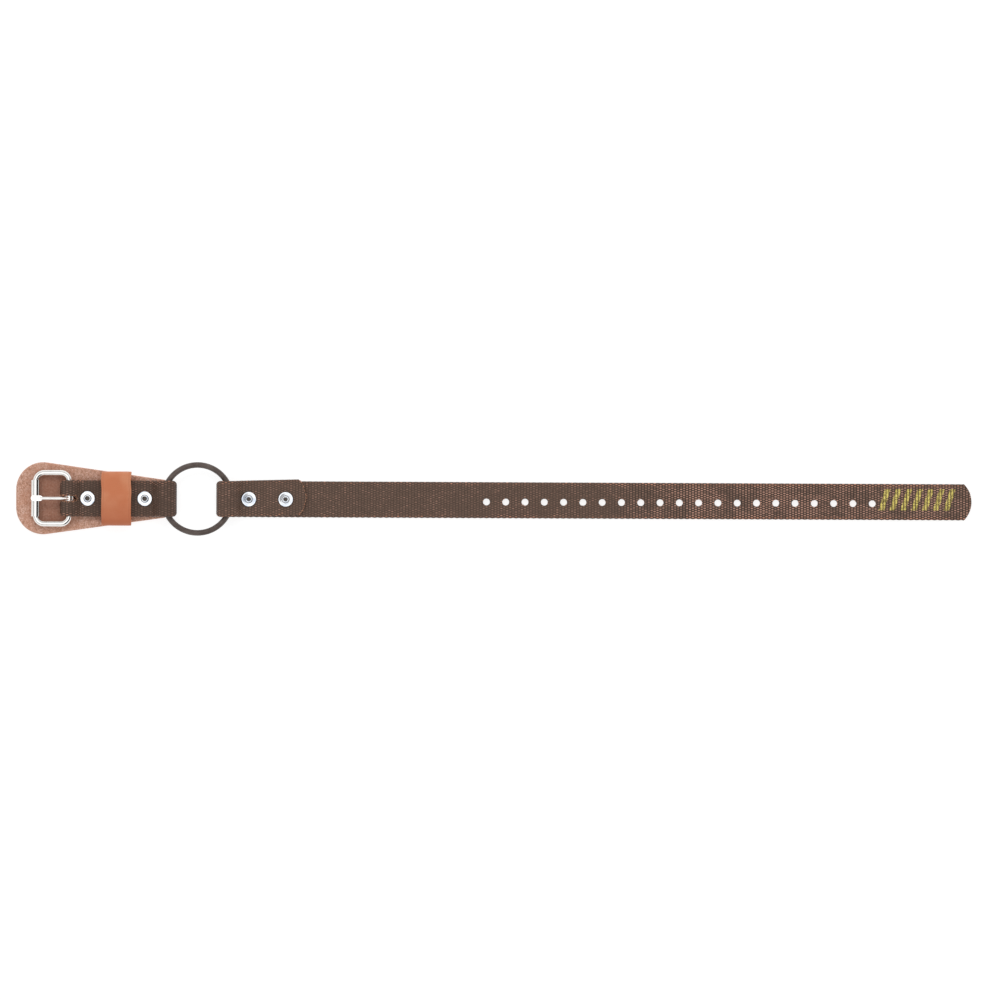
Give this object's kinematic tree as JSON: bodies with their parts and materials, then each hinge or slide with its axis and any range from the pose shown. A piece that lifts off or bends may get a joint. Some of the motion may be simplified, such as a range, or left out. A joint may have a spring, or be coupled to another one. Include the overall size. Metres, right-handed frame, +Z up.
{
  "type": "tree climbing spur ankle strap",
  "caption": "Ankle strap for tree climbing spurs: punched webbing on a steel ring, with a leather pad, a roller buckle and a keeper loop.",
  "frame": {"origin": "middle of the whole strap's footprint, on the surface it lies on", "axes": "+X along the strap from the buckle to the punched tip, +Y across it, +Z up off the surface"},
  "size_m": [0.6685, 0.0516, 0.017],
  "materials": {
    "webbing": "coated brown nylon webbing, its raised yarns worn paler",
    "pad_leather": "undyed thick leather, rough side up",
    "keeper_leather": "smooth russet leather with a pale cut edge",
    "ring_steel": "satin dark brown",
    "buckle_nickel": "bright nickel plate",
    "rivet_zinc": "bright zinc plate",
    "staple_steel": "plain wire"
  },
  "bodies": {
    "long_strap": {"long_strap": "webbing", "rivet_3": "rivet_zinc", "rivet_4": "rivet_zinc", "rivet_washer_3": "rivet_zinc", "rivet_washer_4": "rivet_zinc"},
    "ring": {"ring": "ring_steel"},
    "buckle_strap": {"buckle_strap": "webbing", "leather_pad": "pad_leather", "rivet_1": "rivet_zinc", "rivet_2": "rivet_zinc", "rivet_washer_1": "rivet_zinc", "rivet_washer_2": "rivet_zinc"},
    "keeper": {"keeper_loop": "keeper_leather", "keeper_staple_1": "staple_steel", "keeper_staple_2": "staple_steel"},
    "buckle_frame": {"buckle_frame": "buckle_nickel"},
    "roller": {"buckle_roller": "buckle_nickel"},
    "tongue": {"buckle_tongue": "buckle_nickel"}
  },
  "joints": [
    {"name": "ring_swing", "type": "hinge", "parent": "long_strap", "child": "ring", "pos_m": [-0.1856, 0, 0.0073], "axis": [0, 1, 0], "range_deg": [-90, 90]},
    {"name": "buckle_strap_swing", "type": "hinge", "parent": "ring", "child": "buckle_strap", "pos_m": [-0.2289, 0, 0.0103], "axis": [0, 1, 0], "range_deg": [-90, 90]},
    {"name": "keeper_slide", "type": "slide", "parent": "buckle_strap", "child": "keeper", "axis": [1, 0, 0], "range_m": [-0.0026, 0.0026]},
    {"name": "buckle_lift", "type": "hinge", "parent": "buckle_strap", "child": "buckle_frame", "pos_m": [-0.29695, 0, 0.0086], "axis": [0, 1, 0], "range_deg": [0, 55]},
    {"name": "tongue_lift", "type": "hinge", "parent": "buckle_frame", "child": "tongue", "pos_m": [-0.29695, 0, 0.0086], "axis": [0, 1, 0], "range_deg": [0, 65]},
    {"name": "roller_spin", "type": "hinge", "parent": "buckle_frame", "child": "roller", "pos_m": [-0.32051, 0, 0.0072], "axis": [0, 1, 0], "continuous": true}
  ]
}
